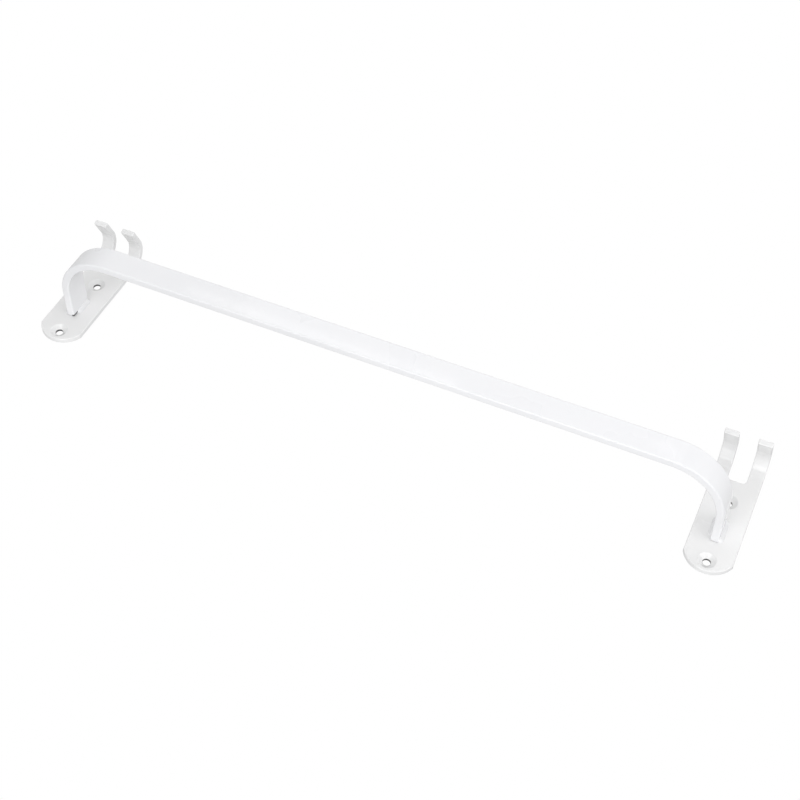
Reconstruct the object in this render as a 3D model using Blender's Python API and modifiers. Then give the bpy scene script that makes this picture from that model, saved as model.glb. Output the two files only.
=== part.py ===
"""Wall rail with two forked screw plates.

A flat steel bar is bent down towards the wall at both ends, and each end is welded to a plate. A plate is
screwed to the wall through two countersunk holes, and its lower end is forked into two prongs that are
curled outwards into hooks. Everything is steel with a white powder coat, and nothing moves.

Frame: the wall is the plane Y = 0 and the rail stands out of it towards -Y. X runs along the rail, +Z is up,
and the origin is on the wall, midway between the plates and level with the middle of the bar.
"""

from math import asin, cos, pi, radians, sin

import bmesh
import bpy

# Sizes in metres.
BRACKET_SPACING = 0.500
STANDOFF = 0.070
BAR_WIDTH = 0.020
BAR_THICKNESS = 0.006
BEND_INNER_RADIUS = 0.035
BAR_EDGE_RADIUS = 0.0009

PLATE_WIDTH = 0.034
PLATE_THICKNESS = 0.004
PLATE_EDGE_RADIUS = 0.0006
END_RADIUS = 0.0185
END_MARGIN = 0.0085
HOLE_SPACING = 0.052
HOLE_RADIUS = 0.00275
SINK_RADIUS = 0.00625

PRONG_WIDTH = 0.0103
NOTCH_DISTANCE = 0.019
NOTCH_CORNER_RADIUS = 0.003
PRONG_STRAIGHT = 0.0072
HOOK_INNER_RADIUS = 0.012
HOOK_ANGLE = radians(114)
HOOK_TIP = 0.0155

WELD_RADIUS = 0.003
INNER_WELD_START = 0.0045

CLEARANCE = 0.0003
CUTTER_MARGIN = 0.002

# How finely round stretches are cut, and how near points are made one.
BEND_STEPS = 14
HOOK_STEPS = 12
END_STEPS = 18
NOTCH_STEPS = 5
HOLE_STEPS = 32
WELD_STEPS = 5
WELD_TURN_STEPS = 24
EDGE_SEGMENTS = 2
MERGE_DISTANCE = 0.00001
SHARP_ANGLE = radians(35)
FLAT_ANGLE = radians(0.5)
BEVEL_ANGLE = radians(60)

UPPER_HOLE_Z = HOLE_SPACING / 2
LOWER_HOLE_Z = -HOLE_SPACING / 2
PLATE_TOP_Z = UPPER_HOLE_Z + END_MARGIN
NOTCH_Z = LOWER_HOLE_Z - NOTCH_DISTANCE
HOOK_Z = NOTCH_Z - PRONG_STRAIGHT

SIDES = {"left": -1, "right": 1}
FACING_FRONT = (pi / 2, 0, 0)
FACING_SIDE = (pi / 2, 0, pi / 2)


def clear_scene():
    for obj in list(bpy.data.objects):
        bpy.data.objects.remove(obj, do_unlink=True)


def new_collection(name):
    collection = bpy.data.collections.new(name)
    bpy.context.scene.collection.children.link(collection)
    return collection


def powder_coat(name, color, roughness):
    """White paint over steel: a dielectric gloss, so the metallic value is zero."""
    material = bpy.data.materials.new(name)
    material.use_nodes = True
    shader = material.node_tree.nodes["Principled BSDF"]
    shader.inputs["Base Color"].default_value = (*color, 1.0)
    shader.inputs["Roughness"].default_value = roughness
    shader.inputs["Metallic"].default_value = 0.0
    return material


def arc(centre, radius, start, end, steps):
    """Points of an arc in a plane, both ends included."""
    turns = [start + (end - start) * i / steps for i in range(steps + 1)]
    return [(centre[0] + radius * cos(a), centre[1] + radius * sin(a)) for a in turns]


def prism(name, outline, thickness, collection, rotation=(0, 0, 0), location=(0, 0, 0)):
    """A closed outline, extruded evenly to both sides of its plane, as a mesh object."""
    curve = bpy.data.curves.new(name + "_outline", "CURVE")
    curve.dimensions = "2D"
    curve.fill_mode = "BOTH"
    curve.extrude = thickness / 2
    spline = curve.splines.new("POLY")
    spline.points.add(len(outline) - 1)
    for point, (x, y) in zip(spline.points, outline):
        point.co = (x, y, 0, 1)
    spline.use_cyclic_u = True
    drawn = bpy.data.objects.new(name + "_outline", curve)
    collection.objects.link(drawn)
    drawn.rotation_euler = rotation
    drawn.location = location
    bpy.context.view_layer.update()
    graph = bpy.context.evaluated_depsgraph_get()
    mesh = bpy.data.meshes.new_from_object(drawn.evaluated_get(graph))
    mesh.name = name
    weld_caps(mesh)
    solid = bpy.data.objects.new(name, mesh)
    collection.objects.link(solid)
    solid.matrix_world = drawn.matrix_world
    bpy.data.objects.remove(drawn, do_unlink=True)
    bpy.data.curves.remove(curve)
    return solid


def weld_caps(mesh):
    """Joins the caps of a filled curve to its sides and merges each cap into one face."""
    bm = bmesh.new()
    bm.from_mesh(mesh)
    bmesh.ops.remove_doubles(bm, verts=bm.verts, dist=MERGE_DISTANCE)
    bmesh.ops.dissolve_limit(bm, angle_limit=FLAT_ANGLE, verts=bm.verts, edges=bm.edges)
    bmesh.ops.recalc_face_normals(bm, faces=bm.faces)
    bm.to_mesh(mesh)
    bm.free()


def turned(name, profile, steps, collection, rotation=(0, 0, 0), location=(0, 0, 0)):
    """A profile of (radius, height) points, listed from the top down, turned about its own Z axis."""
    mesh = bpy.data.meshes.new(name)
    bm = bmesh.new()
    verts = [bm.verts.new((radius, 0, height)) for radius, height in profile]
    for above, below in zip(verts, verts[1:]):
        bm.edges.new((above, below))
    bm.to_mesh(mesh)
    bm.free()
    solid = bpy.data.objects.new(name, mesh)
    collection.objects.link(solid)
    solid.rotation_euler = rotation
    solid.location = location
    screw = solid.modifiers.new("turn", "SCREW")
    screw.axis = "Z"
    screw.steps = steps
    screw.render_steps = steps
    screw.use_merge_vertices = True
    screw.merge_threshold = MERGE_DISTANCE
    return solid


def as_cutter(obj):
    obj.hide_render = True
    obj.display_type = "WIRE"
    return obj


def combine(obj, cutter, operation):
    boolean = obj.modifiers.new(operation.lower() + "_" + cutter.name, "BOOLEAN")
    boolean.operation = operation
    boolean.solver = "EXACT"
    boolean.object = cutter


def round_edges(obj, radius):
    bevel = obj.modifiers.new("rounded_edges", "BEVEL")
    bevel.width = radius
    bevel.segments = EDGE_SEGMENTS
    bevel.limit_method = "ANGLE"
    bevel.angle_limit = BEVEL_ANGLE
    bevel.use_clamp_overlap = True


def finish(obj, material):
    obj.data.materials.clear()
    obj.data.materials.append(material)
    obj.data.shade_smooth()
    obj.data.set_sharp_from_angle(angle=SHARP_ANGLE)


def rail_outline():
    """The bar seen from above: a wide U whose legs end just short of the plates."""
    outer_x = BRACKET_SPACING / 2 + BAR_THICKNESS / 2
    inner_x = outer_x - BAR_THICKNESS
    outer_radius = BEND_INNER_RADIUS + BAR_THICKNESS
    foot_y = -PLATE_THICKNESS - CLEARANCE
    bend_x = outer_x - outer_radius
    bend_y = -STANDOFF + outer_radius
    points = [(-outer_x, foot_y)]
    points += arc((-bend_x, bend_y), outer_radius, pi, 1.5 * pi, BEND_STEPS)
    points += arc((bend_x, bend_y), outer_radius, 1.5 * pi, 2 * pi, BEND_STEPS)
    points += [(outer_x, foot_y), (inner_x, foot_y)]
    points += arc((bend_x, bend_y), BEND_INNER_RADIUS, 2 * pi, 1.5 * pi, BEND_STEPS)
    points += arc((-bend_x, bend_y), BEND_INNER_RADIUS, 1.5 * pi, pi, BEND_STEPS)
    points += [(-inner_x, foot_y)]
    return points


def make_rail(parts):
    rail = prism("rail", rail_outline(), BAR_WIDTH, parts)
    round_edges(rail, BAR_EDGE_RADIUS)
    finish(rail, powder_coat("rail_coat", (0.86, 0.87, 0.89), 0.32))


def plate_side_outline():
    """The plate seen from its side, as (Y, Z): straight down the wall, then curled outwards into the hook."""
    centre = (-PLATE_THICKNESS - HOOK_INNER_RADIUS, HOOK_Z)
    back_radius = HOOK_INNER_RADIUS + PLATE_THICKNESS
    back = arc(centre, back_radius, 0, -HOOK_ANGLE, HOOK_STEPS)
    front = arc(centre, HOOK_INNER_RADIUS, -HOOK_ANGLE, 0, HOOK_STEPS)
    tip_y = -sin(HOOK_ANGLE) * HOOK_TIP
    tip_z = -cos(HOOK_ANGLE) * HOOK_TIP
    back_end = (back[-1][0] + tip_y, back[-1][1] + tip_z)
    front_end = (front[0][0] + tip_y, front[0][1] + tip_z)
    top = PLATE_TOP_Z + CUTTER_MARGIN
    return [(-PLATE_THICKNESS, top), (0, top)] + back + [back_end, front_end] + front


def plate_front_outline():
    """The plate seen from the front, as (X, Z): an arc at the top end and a fork at the lower end."""
    half = PLATE_WIDTH / 2
    notch_half = half - PRONG_WIDTH
    bottom = HOOK_Z - HOOK_INNER_RADIUS - PLATE_THICKNESS - CUTTER_MARGIN
    end_turn = asin(half / END_RADIUS)
    end_centre = (0, PLATE_TOP_Z - END_RADIUS)
    corner_x = notch_half - NOTCH_CORNER_RADIUS
    corner_z = NOTCH_Z - NOTCH_CORNER_RADIUS
    points = [(half, bottom)]
    points += arc(end_centre, END_RADIUS, pi / 2 - end_turn, pi / 2 + end_turn, END_STEPS)
    points += [(-half, bottom), (-notch_half, bottom)]
    points += arc((-corner_x, corner_z), NOTCH_CORNER_RADIUS, pi, pi / 2, NOTCH_STEPS)
    points += arc((corner_x, corner_z), NOTCH_CORNER_RADIUS, pi / 2, 0, NOTCH_STEPS)
    points += [(notch_half, bottom)]
    return points


def screw_hole_profile():
    """A countersunk hole as (radius, distance from the wall), from in front of the plate to behind it."""
    sink_depth = SINK_RADIUS - HOLE_RADIUS
    return [
        (0, PLATE_THICKNESS + CUTTER_MARGIN),
        (SINK_RADIUS + CUTTER_MARGIN, PLATE_THICKNESS + CUTTER_MARGIN),
        (HOLE_RADIUS, PLATE_THICKNESS - sink_depth),
        (HOLE_RADIUS, -CUTTER_MARGIN),
        (0, -CUTTER_MARGIN),
    ]


def make_bracket(side, parts, cutters, material):
    """A strip bent to the side outline, then cut to the front outline and drilled."""
    middle_x = SIDES[side] * BRACKET_SPACING / 2
    strip_width = PLATE_WIDTH + 2 * CUTTER_MARGIN
    bracket = prism(
        "bracket_" + side, plate_side_outline(), strip_width, parts, FACING_SIDE, (middle_x, 0, 0)
    )
    blank_depth = 2 * STANDOFF
    blank = prism(
        "blank_" + side, plate_front_outline(), blank_depth, cutters, FACING_FRONT, (middle_x, 0, 0)
    )
    combine(bracket, as_cutter(blank), "INTERSECT")
    for place, hole_z in (("upper", UPPER_HOLE_Z), ("lower", LOWER_HOLE_Z)):
        hole = turned(
            place + "_hole_" + side,
            screw_hole_profile(),
            HOLE_STEPS,
            cutters,
            FACING_FRONT,
            (middle_x, 0, hole_z),
        )
        combine(bracket, as_cutter(hole), "DIFFERENCE")
    round_edges(bracket, PLATE_EDGE_RADIUS)
    finish(bracket, material)


def bead_profile(length):
    """A bead as (radius, height): a rod with round ends."""
    half = length / 2 - WELD_RADIUS
    top = arc((0, half), WELD_RADIUS, pi / 2, 0, WELD_STEPS)
    bottom = arc((0, -half), WELD_RADIUS, 0, -pi / 2, WELD_STEPS)
    return [(0, top[0][1])] + top[1:] + bottom[:-1] + [(0, bottom[-1][1])]


def make_weld(side, face, parts, cutters, material):
    """A fillet bead in the corner between a plate and one wide face of the leg."""
    towards = SIDES[side] if face == "outer" else -SIDES[side]
    leg_face_x = SIDES[side] * BRACKET_SPACING / 2 + towards * BAR_THICKNESS / 2
    skipped = INNER_WELD_START if face == "inner" else 0
    middle_z = -skipped / 2
    name = "weld_" + side + "_" + face
    bead = turned(
        name,
        bead_profile(BAR_WIDTH - skipped),
        WELD_TURN_STEPS,
        parts,
        location=(leg_face_x, -PLATE_THICKNESS, middle_z),
    )
    corner_size = 2 * WELD_RADIUS
    bpy.ops.mesh.primitive_cube_add(
        size=1,
        location=(
            leg_face_x + towards * (CLEARANCE + corner_size / 2),
            -PLATE_THICKNESS - CLEARANCE - corner_size / 2,
            middle_z,
        ),
    )
    corner = bpy.context.active_object
    corner.name = name + "_corner"
    corner.scale = (corner_size, corner_size, 2 * BAR_WIDTH)
    bpy.ops.object.transform_apply(location=False, rotation=False, scale=True)
    for collection in list(corner.users_collection):
        collection.objects.unlink(corner)
    cutters.objects.link(corner)
    combine(bead, as_cutter(corner), "INTERSECT")
    finish(bead, material)


def make_wall_rail():
    clear_scene()
    parts = new_collection("wall_rail")
    cutters = new_collection("cutters")
    plate_coat = powder_coat("plate_coat", (0.84, 0.84, 0.85), 0.36)
    weld_coat = powder_coat("weld_coat", (0.82, 0.83, 0.85), 0.34)
    make_rail(parts)
    for side in SIDES:
        make_bracket(side, parts, cutters, plate_coat)
        for face in ("inner", "outer"):
            make_weld(side, face, parts, cutters, weld_coat)


make_wall_rail()
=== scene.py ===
import math

import bmesh
import bpy
from mathutils import Matrix, Vector


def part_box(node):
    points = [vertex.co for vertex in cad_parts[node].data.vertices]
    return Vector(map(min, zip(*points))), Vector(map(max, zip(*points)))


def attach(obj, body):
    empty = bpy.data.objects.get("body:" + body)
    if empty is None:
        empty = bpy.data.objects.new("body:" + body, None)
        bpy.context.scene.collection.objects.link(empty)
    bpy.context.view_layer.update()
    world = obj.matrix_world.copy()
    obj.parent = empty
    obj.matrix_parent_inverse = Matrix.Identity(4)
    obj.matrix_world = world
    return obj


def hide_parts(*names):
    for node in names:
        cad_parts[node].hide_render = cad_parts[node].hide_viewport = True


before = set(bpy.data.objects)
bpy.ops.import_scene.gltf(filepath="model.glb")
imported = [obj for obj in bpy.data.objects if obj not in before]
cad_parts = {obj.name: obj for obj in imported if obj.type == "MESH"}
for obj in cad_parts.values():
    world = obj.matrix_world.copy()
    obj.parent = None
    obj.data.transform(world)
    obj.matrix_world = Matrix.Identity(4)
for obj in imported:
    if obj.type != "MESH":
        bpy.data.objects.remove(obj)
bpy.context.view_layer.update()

# ---------------------------------------------------------------------------------------
# The rail: one length of flat steel bar, 20 by 6 mm, bent flatwise round a former near each
# end so that both legs turn back to the wall. It is sprayed with glossy white powder coat
# after welding, so its corners are rounded by the bar's own radius and by the coat.
# ---------------------------------------------------------------------------------------

BAR_THICKNESS = 0.006
FORMER_RADIUS = 0.035
BAR_CORNER = 0.0011
BAR_CORNER_STEPS = 5
LEG_BEND_STEPS = 48
LEG_STEPS = 20
SPAN_STEPS = 160
QUARTER_TURN = math.radians(90)
MERGE_DISTANCE = 1e-7
FOOT_ROUNDING = 0.0004
FOOT_RELIEF = 0.0016
CREASE_ANGLE = 45
CORNER_ANGLE = 60
# Painted shade: a near-black colour laid into the white coat where a crevice and the hole walls
# lie in shadow.
PAINTED_SHADE_COLOUR = (0.035, 0.035, 0.037)

rail_low, rail_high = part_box("rail")
bar_width = rail_high.z - rail_low.z
span = rail_high.x - rail_low.x - 2 * BAR_THICKNESS - 2 * FORMER_RADIUS
leg = rail_high.y - rail_low.y - BAR_THICKNESS - FORMER_RADIUS
left_leg_x = rail_low.x + BAR_THICKNESS / 2
right_leg_x = rail_high.x - BAR_THICKNESS / 2
rail_z = (rail_low.z + rail_high.z) / 2


def push(bm, face, travel, steps=1):
    """Draws a face out by a straight travel, in even steps, and returns the far face.

    A lone face stays as the start of the solid. The end of a solid goes, or it would be left
    inside as a wall.
    """
    for _ in range(steps):
        ends_a_solid = any(len(edge.link_faces) > 1 for edge in face.edges)
        drawn = bmesh.ops.extrude_face_region(bm, geom=[face])["geom"]
        if ends_a_solid and face.is_valid:
            bmesh.ops.delete(bm, geom=[face], context="FACES_ONLY")
        points = [item for item in drawn if isinstance(item, bmesh.types.BMVert)]
        bmesh.ops.translate(bm, verts=points, vec=Vector(travel) / steps)
        face = next(item for item in drawn if isinstance(item, bmesh.types.BMFace))
    return face


def swing(bm, face, pivot, axis, angle, steps):
    """Draws a face round a pivot and returns the face at the far end."""
    started = [face, *face.edges, *face.verts]
    swung = bmesh.ops.spin(
        bm, geom=started, cent=pivot, axis=axis, angle=angle, steps=steps, use_duplicate=False
    )["geom_last"]
    return next(item for item in swung if isinstance(item, bmesh.types.BMFace))


def sharp_edges(bm, least_degrees):
    """The edges whose two faces turn by at least this angle."""
    least = math.radians(least_degrees)
    return [edge for edge in bm.edges if edge.is_manifold and edge.calc_face_angle() > least]


def piece_from(bm, name, material):
    """Makes the finished mesh an object at the origin, smooth, with flats kept flat."""
    bmesh.ops.remove_doubles(bm, verts=bm.verts, dist=MERGE_DISTANCE)
    bmesh.ops.recalc_face_normals(bm, faces=bm.faces)
    for face in bm.faces:
        face.smooth = True
    for edge in sharp_edges(bm, CREASE_ANGLE):
        edge.smooth = False
    mesh = bpy.data.meshes.new(name)
    bm.to_mesh(mesh)
    bm.free()
    mesh.materials.append(material)
    piece = bpy.data.objects.new(name, mesh)
    bpy.context.scene.collection.objects.link(piece)
    flats = piece.modifiers.new("flats_kept_flat", "WEIGHTED_NORMAL")
    flats.keep_sharp = True
    return piece


def calculate(material, operation, first, second):
    """One arithmetic node on two values, either of which may be a plain number."""
    node = material.node_tree.nodes.new("ShaderNodeMath")
    node.operation = operation
    for socket, value in zip(node.inputs, (first, second)):
        if isinstance(value, (int, float)):
            socket.default_value = value
        else:
            material.node_tree.links.new(value, socket)
    return node.outputs[0]


def crevice_painted_shade(material, place):
    """Painted shade: the crevice at the inner corner of the +X foot, next to the plate and above Z
    = 0, painted near black.
    """
    parts = material.node_tree.nodes.new("ShaderNodeSeparateXYZ")
    material.node_tree.links.new(place.outputs["Object"], parts.inputs["Vector"])
    out = calculate(material, "ABSOLUTE", parts.outputs["X"], 0)
    under_foot = calculate(
        material, "LESS_THAN", out, right_leg_x - BAR_THICKNESS / 2 + FOOT_RELIEF
    )
    near_plate = calculate(
        material, "GREATER_THAN", parts.outputs["Y"], rail_high.y - FOOT_RELIEF
    )
    on_right = calculate(material, "GREATER_THAN", parts.outputs["X"], 0)
    upper = calculate(material, "GREATER_THAN", parts.outputs["Z"], 0)
    inner_corner = calculate(material, "MULTIPLY", under_foot, near_plate)
    upper_right = calculate(material, "MULTIPLY", on_right, upper)
    return calculate(material, "MULTIPLY", inner_corner, upper_right)


def white_coat(
    name, colour, thin_colour, peel_size, peel_height, coat_roughness, painted_shade_mask=None
):
    """Glossy powder coat: fine orange peel, slow flow waves, patches of thinner coat."""
    material = bpy.data.materials.new(name)
    material.use_nodes = True
    nodes, links = material.node_tree.nodes, material.node_tree.links
    shader = nodes["Principled BSDF"]
    shader.inputs["IOR"].default_value = 1.5
    shader.inputs["Coat Weight"].default_value = 0.8
    shader.inputs["Coat Roughness"].default_value = coat_roughness
    shader.inputs["Coat IOR"].default_value = 1.5

    place = nodes.new("ShaderNodeTexCoord")
    peel = nodes.new("ShaderNodeTexNoise")
    peel.inputs["Scale"].default_value = 1 / peel_size
    peel.inputs["Detail"].default_value = 1.5
    links.new(place.outputs["Object"], peel.inputs["Vector"])
    flow = nodes.new("ShaderNodeTexNoise")
    flow.inputs["Scale"].default_value = 45
    flow.inputs["Detail"].default_value = 1.0
    links.new(place.outputs["Object"], flow.inputs["Vector"])
    cloud = nodes.new("ShaderNodeTexNoise")
    cloud.inputs["Scale"].default_value = 14
    cloud.inputs["Detail"].default_value = 3.0
    links.new(place.outputs["Object"], cloud.inputs["Vector"])

    peel_bump = nodes.new("ShaderNodeBump")
    peel_bump.inputs["Strength"].default_value = 0.2
    peel_bump.inputs["Distance"].default_value = peel_height
    links.new(peel.outputs["Fac"], peel_bump.inputs["Height"])
    flow_bump = nodes.new("ShaderNodeBump")
    flow_bump.inputs["Strength"].default_value = 0.18
    flow_bump.inputs["Distance"].default_value = 0.00006
    links.new(flow.outputs["Fac"], flow_bump.inputs["Height"])
    links.new(peel_bump.outputs["Normal"], flow_bump.inputs["Normal"])
    links.new(flow_bump.outputs["Normal"], shader.inputs["Normal"])
    links.new(flow_bump.outputs["Normal"], shader.inputs["Coat Normal"])

    shades = nodes.new("ShaderNodeValToRGB")
    shades.color_ramp.elements[0].position = 0.35
    shades.color_ramp.elements[0].color = (*thin_colour, 1)
    shades.color_ramp.elements[1].position = 0.62
    shades.color_ramp.elements[1].color = (*colour, 1)
    links.new(cloud.outputs["Fac"], shades.inputs["Fac"])
    links.new(shades.outputs["Color"], shader.inputs["Base Color"])

    # Painted shade: where the mask is one, the coat's colour gives way to the near-black painted
    # shade colour.
    if painted_shade_mask:
        painted_shade_mix = nodes.new("ShaderNodeMix")
        painted_shade_mix.data_type = "RGBA"
        links.new(painted_shade_mask(material, place), painted_shade_mix.inputs["Factor"])
        links.new(shades.outputs["Color"], painted_shade_mix.inputs["A"])
        painted_shade_mix.inputs["B"].default_value = (*PAINTED_SHADE_COLOUR, 1)
        links.new(painted_shade_mix.outputs["Result"], shader.inputs["Base Color"])

    gloss = nodes.new("ShaderNodeMapRange")
    gloss.inputs["From Min"].default_value = 0.3
    gloss.inputs["From Max"].default_value = 0.7
    gloss.inputs["To Min"].default_value = 0.24
    gloss.inputs["To Max"].default_value = 0.34
    links.new(cloud.outputs["Fac"], gloss.inputs["Value"])
    links.new(gloss.outputs["Result"], shader.inputs["Roughness"])
    return material


bm = bmesh.new()
section_place = (
    Matrix.Translation((left_leg_x, rail_high.y, rail_z))
    @ Matrix.Rotation(QUARTER_TURN, 4, "X")
    @ Matrix.Diagonal((BAR_THICKNESS, bar_width, 1, 1))
)
bmesh.ops.create_grid(bm, x_segments=1, y_segments=1, size=0.5, matrix=section_place)
bmesh.ops.bevel(
    bm, geom=bm.verts[:], offset=BAR_CORNER, segments=BAR_CORNER_STEPS, profile=0.5,
    affect="VERTICES", material=-1,
)
bar_end = bm.faces[:][0]
bar_end = push(bm, bar_end, (0, -leg, 0), LEG_STEPS)
bend_y = rail_high.y - leg
left_pivot = (left_leg_x + BAR_THICKNESS / 2 + FORMER_RADIUS, bend_y, rail_z)
bar_end = swing(bm, bar_end, left_pivot, (0, 0, 1), QUARTER_TURN, LEG_BEND_STEPS)
bar_end = push(bm, bar_end, (span, 0, 0), SPAN_STEPS)
right_pivot = (right_leg_x - BAR_THICKNESS / 2 - FORMER_RADIUS, bend_y, rail_z)
bar_end = swing(bm, bar_end, right_pivot, (0, 0, 1), QUARTER_TURN, LEG_BEND_STEPS)
bar_end = push(bm, bar_end, (0, leg, 0), LEG_STEPS)
foot_edges = sharp_edges(bm, CORNER_ANGLE)
inner_faces = (left_leg_x + BAR_THICKNESS / 2, right_leg_x - BAR_THICKNESS / 2)
inner_foot_edges = [
    edge for edge in foot_edges
    if any(all(abs(point.co.x - x) < MERGE_DISTANCE for point in edge.verts) for x in inner_faces)
]
bmesh.ops.bevel(
    bm, geom=inner_foot_edges, offset=FOOT_RELIEF, segments=1, profile=0.5, affect="EDGES",
    material=-1,
)
foot_edges = sharp_edges(bm, CORNER_ANGLE)
bmesh.ops.bevel(
    bm, geom=foot_edges, offset=FOOT_ROUNDING, segments=2, profile=0.5, affect="EDGES", material=-1
)

# The rail's coat carries painted shade in the crevice at the +X foot.
rail_coat = white_coat(
    "rail_white_coat", colour=(0.885, 0.888, 0.905), thin_colour=(0.865, 0.87, 0.89),
    peel_size=0.0011, peel_height=0.00003, coat_roughness=0.05, painted_shade_mask=crevice_painted_shade,
)
rail = piece_from(bm, "flat_bar_rail", rail_coat)
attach(rail, "root")
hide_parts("rail")

# ---------------------------------------------------------------------------------------
# The two wall brackets: each one is a 4 mm steel blank with an arched upper end, two
# countersunk screw holes and a notch that leaves two prongs, which are bent forward and up
# into hooks. They are punched, bent, welded to the bar's feet and coated with it.
# ---------------------------------------------------------------------------------------

PLATE_THICKNESS = 0.004
ARCH_RADIUS = 0.0185
HOLE_SPACING = 0.052
HOLE_RADIUS = 0.00275
WALL_RIM = 0.0001
SINK_WIDTH = 0.0035
SINK_DEPTH = 0.0025
PRONG_WIDTH = 0.0103
NOTCH_BOTTOM = 0.045
NOTCH_CORNER = 0.003
HOOK_START = 0.0522
HOOK_INNER_RADIUS = 0.012
HOOK_TURN = math.radians(114)
HOOK_TIP = 0.0155
BLANK_ROUNDING = 0.0007
BLANK_CORNER_ANGLE = 50
SINK_RIM_ROUNDING = 0.0004
SINK_RIM_ANGLE = 30
ARCH_STEPS = 18
NOTCH_STEPS = 8
HOLE_STEPS = 24
HOOK_STEPS = 40


def line(bm, start, travel):
    """Draws an edge from a vertex by a travel and returns the vertex at its end."""
    drawn = bmesh.ops.extrude_vert_indiv(bm, verts=[start])["verts"]
    bmesh.ops.translate(bm, verts=drawn, vec=travel)
    return drawn[0]


def arc(bm, start, pivot, degrees, steps):
    """Draws an arc from a vertex round a pivot, in the wall's plane, and returns its end."""
    swung = bmesh.ops.spin(
        bm, geom=[start], cent=pivot, axis=(0, 1, 0), angle=math.radians(degrees), steps=steps,
        use_duplicate=False,
    )["geom_last"]
    return next(item for item in swung if isinstance(item, bmesh.types.BMVert))


def in_plane(edge, y):
    """Whether an edge lies in the plane at this distance from the wall."""
    return all(abs(point.co.y - y) < MERGE_DISTANCE for point in edge.verts)


def around_hole(edge, hole_z, reach):
    """Whether an edge lies within reach of a hole's axis, on a bracket centred on X = 0."""
    return all(math.hypot(point.co.x, point.co.z - hole_z) < reach for point in edge.verts)


def make_bracket(name, node, material):
    """A bracket drawn and bent about X = 0 and then moved to its node's place."""
    low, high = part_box(node)
    half_width = (high.x - low.x) / 2
    arch_z = high.z - ARCH_RADIUS
    shoulder = math.degrees(math.acos(half_width / ARCH_RADIUS))
    shoulder_z = arch_z + math.sqrt(ARCH_RADIUS**2 - half_width**2)

    # Half of the blank, drawn from the top of the arch round to the holes on its centre line.
    bm = bmesh.new()
    start = bmesh.ops.create_vert(bm, co=(0, 0, high.z))["vert"][0]
    tip = arc(bm, start, (0, 0, arch_z), 90 - shoulder, ARCH_STEPS)
    tip = line(bm, tip, (0, 0, -HOOK_START - shoulder_z))
    tip = line(bm, tip, (-PRONG_WIDTH, 0, 0))
    notch_half = half_width - PRONG_WIDTH
    tip = line(bm, tip, (0, 0, HOOK_START - NOTCH_BOTTOM - NOTCH_CORNER))
    notch_pivot = (notch_half - NOTCH_CORNER, 0, -NOTCH_BOTTOM - NOTCH_CORNER)
    tip = arc(bm, tip, notch_pivot, -90, NOTCH_STEPS)
    tip = line(bm, tip, (NOTCH_CORNER - notch_half, 0, 0))
    tip = line(bm, tip, (0, 0, NOTCH_BOTTOM - HOLE_SPACING / 2 - HOLE_RADIUS))
    tip = arc(bm, tip, (0, 0, -HOLE_SPACING / 2), -180, HOLE_STEPS)
    tip = line(bm, tip, (0, 0, HOLE_SPACING - 2 * HOLE_RADIUS))
    tip = arc(bm, tip, (0, 0, HOLE_SPACING / 2), -180, HOLE_STEPS)
    bmesh.ops.contextual_create(bm, geom=[start, tip])
    bmesh.ops.edgeloop_fill(bm, edges=bm.edges[:])
    blank = bm.faces[:][0]
    push(bm, blank, (0, -PLATE_THICKNESS, 0))

    # The prong's end swings forward and up round the hook former, then runs on to its tip.
    prong_end = next(
        face for face in bm.faces
        if all(abs(point.co.z + HOOK_START) < MERGE_DISTANCE for point in face.verts)
    )
    pivot = (0, -PLATE_THICKNESS - HOOK_INNER_RADIUS, -HOOK_START)
    prong_end = swing(bm, prong_end, pivot, (1, 0, 0), -HOOK_TURN, HOOK_STEPS)
    tip_travel = Matrix.Rotation(-HOOK_TURN, 3, "X") @ Vector((0, 0, -HOOK_TIP))
    push(bm, prong_end, tip_travel)

    # The other half mirrors this one.
    on_centre = [
        face for face in bm.faces
        if all(abs(point.co.x) < MERGE_DISTANCE for point in face.verts)
    ]
    bmesh.ops.delete(bm, geom=on_centre, context="FACES")
    bmesh.ops.mirror(
        bm, geom=[*bm.verts, *bm.edges, *bm.faces], axis="X", merge_dist=MERGE_DISTANCE
    )
    bmesh.ops.recalc_face_normals(bm, faces=bm.faces)

    # Coat and punching round every corner but the holes', which are countersunk.
    front = -PLATE_THICKNESS
    near_hole = HOLE_RADIUS * 1.1
    near_rim = 2.5 * near_hole
    holes = (-HOLE_SPACING / 2, HOLE_SPACING / 2)
    rounded = [
        edge for edge in sharp_edges(bm, BLANK_CORNER_ANGLE)
        if not any(around_hole(edge, z, near_hole) for z in holes)
    ]
    bmesh.ops.bevel(
        bm, geom=rounded, offset=BLANK_ROUNDING, segments=3, profile=0.5, affect="EDGES",
        material=-1,
    )
    mouths = [
        edge for edge in sharp_edges(bm, BLANK_CORNER_ANGLE)
        if in_plane(edge, front) and any(around_hole(edge, z, near_hole) for z in holes)
    ]
    bmesh.ops.bevel(
        bm, geom=mouths, offset=SINK_WIDTH, segments=1, profile=0.5, affect="EDGES", material=-1
    )
    for point in bm.verts:
        on_wall = any(math.hypot(point.co.x, point.co.z - z) < near_hole for z in holes)
        if on_wall and abs(point.co.y - front - SINK_WIDTH) < MERGE_DISTANCE:
            point.co.y = front + SINK_DEPTH
    sink_rims = [
        edge for edge in sharp_edges(bm, SINK_RIM_ANGLE)
        if in_plane(edge, front) and any(around_hole(edge, z, near_rim) for z in holes)
    ]
    bmesh.ops.bevel(
        bm, geom=sink_rims, offset=SINK_RIM_ROUNDING, segments=3, profile=0.5, affect="EDGES",
        material=-1,
    )
    bmesh.ops.translate(bm, verts=bm.verts, vec=((low.x + high.x) / 2, 0, 0))
    bracket = piece_from(bm, name, material)
    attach(bracket, "root")
    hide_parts(node)


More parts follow.
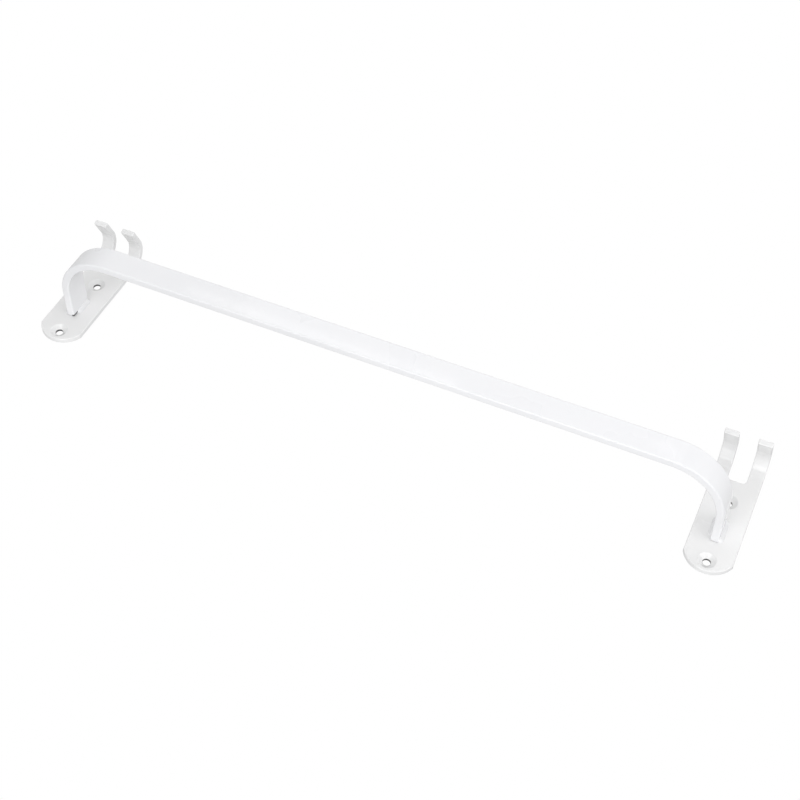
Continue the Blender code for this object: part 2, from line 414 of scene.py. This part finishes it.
def hole_wall_painted_shade(material, place):
    """Painted shade: the walls of the punched holes are painted near black, where they lie in
    shadow.
    """
    parts = material.node_tree.nodes.new("ShaderNodeSeparateXYZ")
    material.node_tree.links.new(place.outputs["Object"], parts.inputs["Vector"])
    low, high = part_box("bracket_right")
    across = calculate(material, "ABSOLUTE", parts.outputs["X"], 0)
    across = calculate(material, "SUBTRACT", across, (low.x + high.x) / 2)
    along = calculate(material, "ABSOLUTE", parts.outputs["Z"], 0)
    along = calculate(material, "SUBTRACT", along, HOLE_SPACING / 2)
    across = calculate(material, "POWER", across, 2)
    along = calculate(material, "POWER", along, 2)
    squared = calculate(material, "ADD", across, along)
    return calculate(material, "LESS_THAN", squared, (HOLE_RADIUS + WALL_RIM) ** 2)


# The brackets' coat carries painted shade on the walls of the screw holes.
plate_coat = white_coat(
    "bracket_white_coat", colour=(0.86, 0.86, 0.86), thin_colour=(0.838, 0.84, 0.842),
    peel_size=0.0012, peel_height=0.00004, coat_roughness=0.16, painted_shade_mask=hole_wall_painted_shade,
)
make_bracket("hook_bracket_left", "bracket_left", plate_coat)
make_bracket("hook_bracket_right", "bracket_right", plate_coat)

# ---------------------------------------------------------------------------------------
# The weld beads: a hand-laid fillet of weld metal along each side of both feet, joining the
# bar to its plate. They are dressed smooth and the coat covers them. The inner ones stop
# short of the bar's upper edge and leave a crevice there.
# ---------------------------------------------------------------------------------------

BEAD_SINK = 0.0002
ROOT_DEPTH = 0.0001
SWELL_PITCH = 0.006
SWELL_SHARE = 0.01
BEAD_FLATNESS = 1.4
BEAD_SPREAD = 1.1
LEAST_END_SHARE = 0.02
BEAD_SIDES = 40
RING_PITCH = 0.0004


def make_bead(name, node, leg_face_x, outward, material, phase):
    """A round bead along the corner of leg and plate, cut back to the quarter that shows."""
    low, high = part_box(node)
    radius = BEAD_SPREAD * (high.x - low.x + high.y - low.y) / 2
    length = high.z - low.z
    root_x = leg_face_x - outward * ROOT_DEPTH
    root_y = -PLATE_THICKNESS + ROOT_DEPTH
    rings = round(length / RING_PITCH)
    step = length / rings
    bm = bmesh.new()
    bmesh.ops.create_circle(
        bm, cap_ends=True, segments=BEAD_SIDES, radius=radius,
        matrix=Matrix.Translation((root_x, root_y, low.z)),
    )
    end = bm.faces[:][0]
    centre = Vector((root_x, root_y, 0))
    for point in bm.verts:
        x, y = (abs(part) / radius for part in (point.co - centre).xy)
        flatter = (x**BEAD_FLATNESS + y**BEAD_FLATNESS) ** (-1 / BEAD_FLATNESS)
        point.co.xy = centre.xy + (point.co - centre).xy * flatter

    def bead_radius(travel):
        """The bead's radius along its run: domed ends, and the slow swell of a hand's pace."""
        dome = min(travel, length - travel, radius) / radius
        ends = math.sqrt(max(1 - (1 - dome) ** 2, LEAST_END_SHARE))
        swell = SWELL_SHARE * math.sin(math.pi * travel / SWELL_PITCH + phase)
        return radius * ends * (1 - SWELL_SHARE + swell)

    shape = bead_radius(0) / radius
    bmesh.ops.scale(
        bm, vec=(shape, shape, 1), verts=bm.verts, space=Matrix.Translation(-centre)
    )
    for ring in range(1, rings + 1):
        before = bead_radius((ring - 1) * step)
        after = bead_radius(ring * step)
        end = push(bm, end, (0, 0, step))
        bmesh.ops.scale(
            bm, vec=(after / before, after / before, 1), verts=end.verts,
            space=Matrix.Translation(-centre),
        )
    for cut_at, away in (
        ((0, -PLATE_THICKNESS + BEAD_SINK, 0), (0, 1, 0)),
        ((leg_face_x - outward * BEAD_SINK, 0, 0), (-outward, 0, 0)),
    ):
        bmesh.ops.bisect_plane(
            bm, geom=[*bm.verts, *bm.edges, *bm.faces], plane_co=cut_at, plane_no=away,
            clear_outer=True,
        )
        rim = [edge for edge in bm.edges if edge.is_boundary]
        bmesh.ops.edgeloop_fill(bm, edges=rim)
    bead = piece_from(bm, name, material)
    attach(bead, "root")
    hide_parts(node)


weld_coat = white_coat(
    "weld_white_coat", colour=(0.86, 0.862, 0.874), thin_colour=(0.84, 0.843, 0.858),
    peel_size=0.0010, peel_height=0.00004, coat_roughness=0.2,
)
left_inner_x = left_leg_x + BAR_THICKNESS / 2
left_outer_x = left_leg_x - BAR_THICKNESS / 2
right_inner_x = right_leg_x - BAR_THICKNESS / 2
right_outer_x = right_leg_x + BAR_THICKNESS / 2
make_bead("weld_bead_left_inner", "weld_left_inner", left_inner_x, 1, weld_coat, 0.3)
make_bead("weld_bead_left_outer", "weld_left_outer", left_outer_x, -1, weld_coat, 1.1)
make_bead("weld_bead_right_inner", "weld_right_inner", right_inner_x, -1, weld_coat, 2.0)
make_bead("weld_bead_right_outer", "weld_right_outer", right_outer_x, 1, weld_coat, 2.7)

# ---------------------------------------------------------------------------------------
# The studio: a wide white floor well below the rail and a white surround, both lit so that
# they show plain white behind it but only fill it softly. Large softboxes stand round it,
# most of the light coming from above in front, and two thin tubes draw lines on the bar.
# ---------------------------------------------------------------------------------------

FLOOR_Z = -1.5
FLOOR_SIZE = 30
SHOWN_WHITE = 1.0
FLOOR_FILL = 0.14
SURROUND_FILL = 0.52
SOFTBOX_SIZE = 1.3
SOFTBOX_DISTANCE = 2.0
TUBE_WIDTH = 0.0075
TUBE_RADIANCE = 2.6


def shown_or_fill(tree, shown, fill, output_socket):
    """The background shows one plain white and lights the rail with its own softer fill."""
    path = tree.nodes.new("ShaderNodeLightPath")
    choice = tree.nodes.new("ShaderNodeMixShader")
    tree.links.new(path.outputs["Is Camera Ray"], choice.inputs["Fac"])
    tree.links.new(fill, choice.inputs[1])
    tree.links.new(shown, choice.inputs[2])
    tree.links.new(choice.outputs["Shader"], output_socket)


bm = bmesh.new()
bmesh.ops.create_grid(
    bm, x_segments=1, y_segments=1, size=FLOOR_SIZE,
    matrix=Matrix.Translation((0, 0, FLOOR_Z)),
)
floor_mesh = bpy.data.meshes.new("studio_floor")
bm.to_mesh(floor_mesh)
bm.free()
floor = bpy.data.objects.new("studio_floor", floor_mesh)
bpy.context.scene.collection.objects.link(floor)
floor_paint = bpy.data.materials.new("studio_floor_white")
floor_paint.use_nodes = True
nodes = floor_paint.node_tree.nodes
floor_shader = nodes["Principled BSDF"]
floor_shader.inputs["Base Color"].default_value = (0.9, 0.9, 0.9, 1)
floor_shader.inputs["Roughness"].default_value = 1.0
floor_shader.inputs["Specular IOR Level"].default_value = 0.0
floor_shader.inputs["Emission Color"].default_value = (1, 1, 1, 1)
floor_shader.inputs["Emission Strength"].default_value = FLOOR_FILL
floor_white = nodes.new("ShaderNodeEmission")
floor_white.inputs["Strength"].default_value = SHOWN_WHITE
shown_or_fill(
    floor_paint.node_tree, floor_white.outputs["Emission"], floor_shader.outputs["BSDF"],
    nodes["Material Output"].inputs["Surface"],
)
floor_mesh.materials.append(floor_paint)

world = bpy.data.worlds.new("soft_white_surround")
bpy.context.scene.world = world
world.use_nodes = True
nodes = world.node_tree.nodes
surround_fill = nodes["Background"]
surround_fill.inputs["Color"].default_value = (1, 1, 1, 1)
surround_fill.inputs["Strength"].default_value = SURROUND_FILL
surround_white = nodes.new("ShaderNodeBackground")
surround_white.inputs["Color"].default_value = (1, 1, 1, 1)
surround_white.inputs["Strength"].default_value = SHOWN_WHITE
shown_or_fill(
    world.node_tree, surround_white.outputs["Background"], surround_fill.outputs["Background"],
    nodes["World Output"].inputs["Surface"],
)


def area_light(name, place, aim, width, height, watts):
    """A rectangular softbox that faces its aim and does not show itself."""
    light = bpy.data.lights.new(name, "AREA")
    light.shape = "RECTANGLE"
    light.size = width
    light.size_y = height
    light.energy = watts
    lamp = bpy.data.objects.new(name, light)
    bpy.context.scene.collection.objects.link(lamp)
    lamp.location = place
    lamp.rotation_euler = (aim - place).to_track_quat("-Z", "Y").to_euler()
    lamp.visible_camera = False
    return lamp


for name, direction, watts in (
    ("front_top_softbox", (0, -1, 1), 12.6),
    ("overhead_softbox", (0, -0.1, 1), 7.5),
    ("front_left_softbox", (-1, -1, 0.14), 8.4),
    ("high_left_softbox", (-0.75, -0.2, 0.65), 1.9),
    ("back_softbox", (0, 0.8, 0.6), 2.2),
    ("left_softbox", (-1, -0.1, 0.1), 2.2),
):
    place = Vector(direction).normalized() * SOFTBOX_DISTANCE
    area_light(name, place, Vector(), SOFTBOX_SIZE, SOFTBOX_SIZE, watts)

low_front = Vector((0.12, -1.3, -0.79))
area_light("low_front_softbox", low_front, Vector((0.12, 0, 0)), 1.15, 0.5, 1.1)

for name, end, far_end in (
    ("tube_right", (0.625, -0.9, -0.671), (0.2, -0.9, -0.664)),
    ("tube_left", (-0.083, -0.9, -0.683), (-0.138, -0.9, -0.667)),
):
    end, far_end = Vector(end), Vector(far_end)
    length = (far_end - end).length
    watts = math.pi * length * TUBE_WIDTH * TUBE_RADIANCE
    middle = (end + far_end) / 2
    tube = area_light(name, middle, Vector((middle.x, 0, 0)), length, TUBE_WIDTH, watts)
    tube.rotation_euler.rotate_axis("Z", math.atan2(end.z - far_end.z, end.x - far_end.x))

# ---------------------------------------------------------------------------------------
# The camera: it stands in front of the wall and above the rail, turned over so that the
# open side of the rail is up.
# ---------------------------------------------------------------------------------------

camera_data = bpy.data.cameras.new("camera")
camera_data.lens = 69.71
camera_data.sensor_width = 36
camera_data.shift_x = -0.0375
camera_data.shift_y = -0.15
camera = bpy.data.objects.new("camera", camera_data)
bpy.context.scene.collection.objects.link(camera)
camera.location = (-0.3061, -0.8513, 0.6432)
camera.rotation_euler = [math.radians(turn) for turn in (-44.684, 23.57, -179.01)]
bpy.context.scene.camera = camera
bpy.context.scene.view_settings.view_transform = "Standard"
bpy.context.scene.view_settings.look = "None"
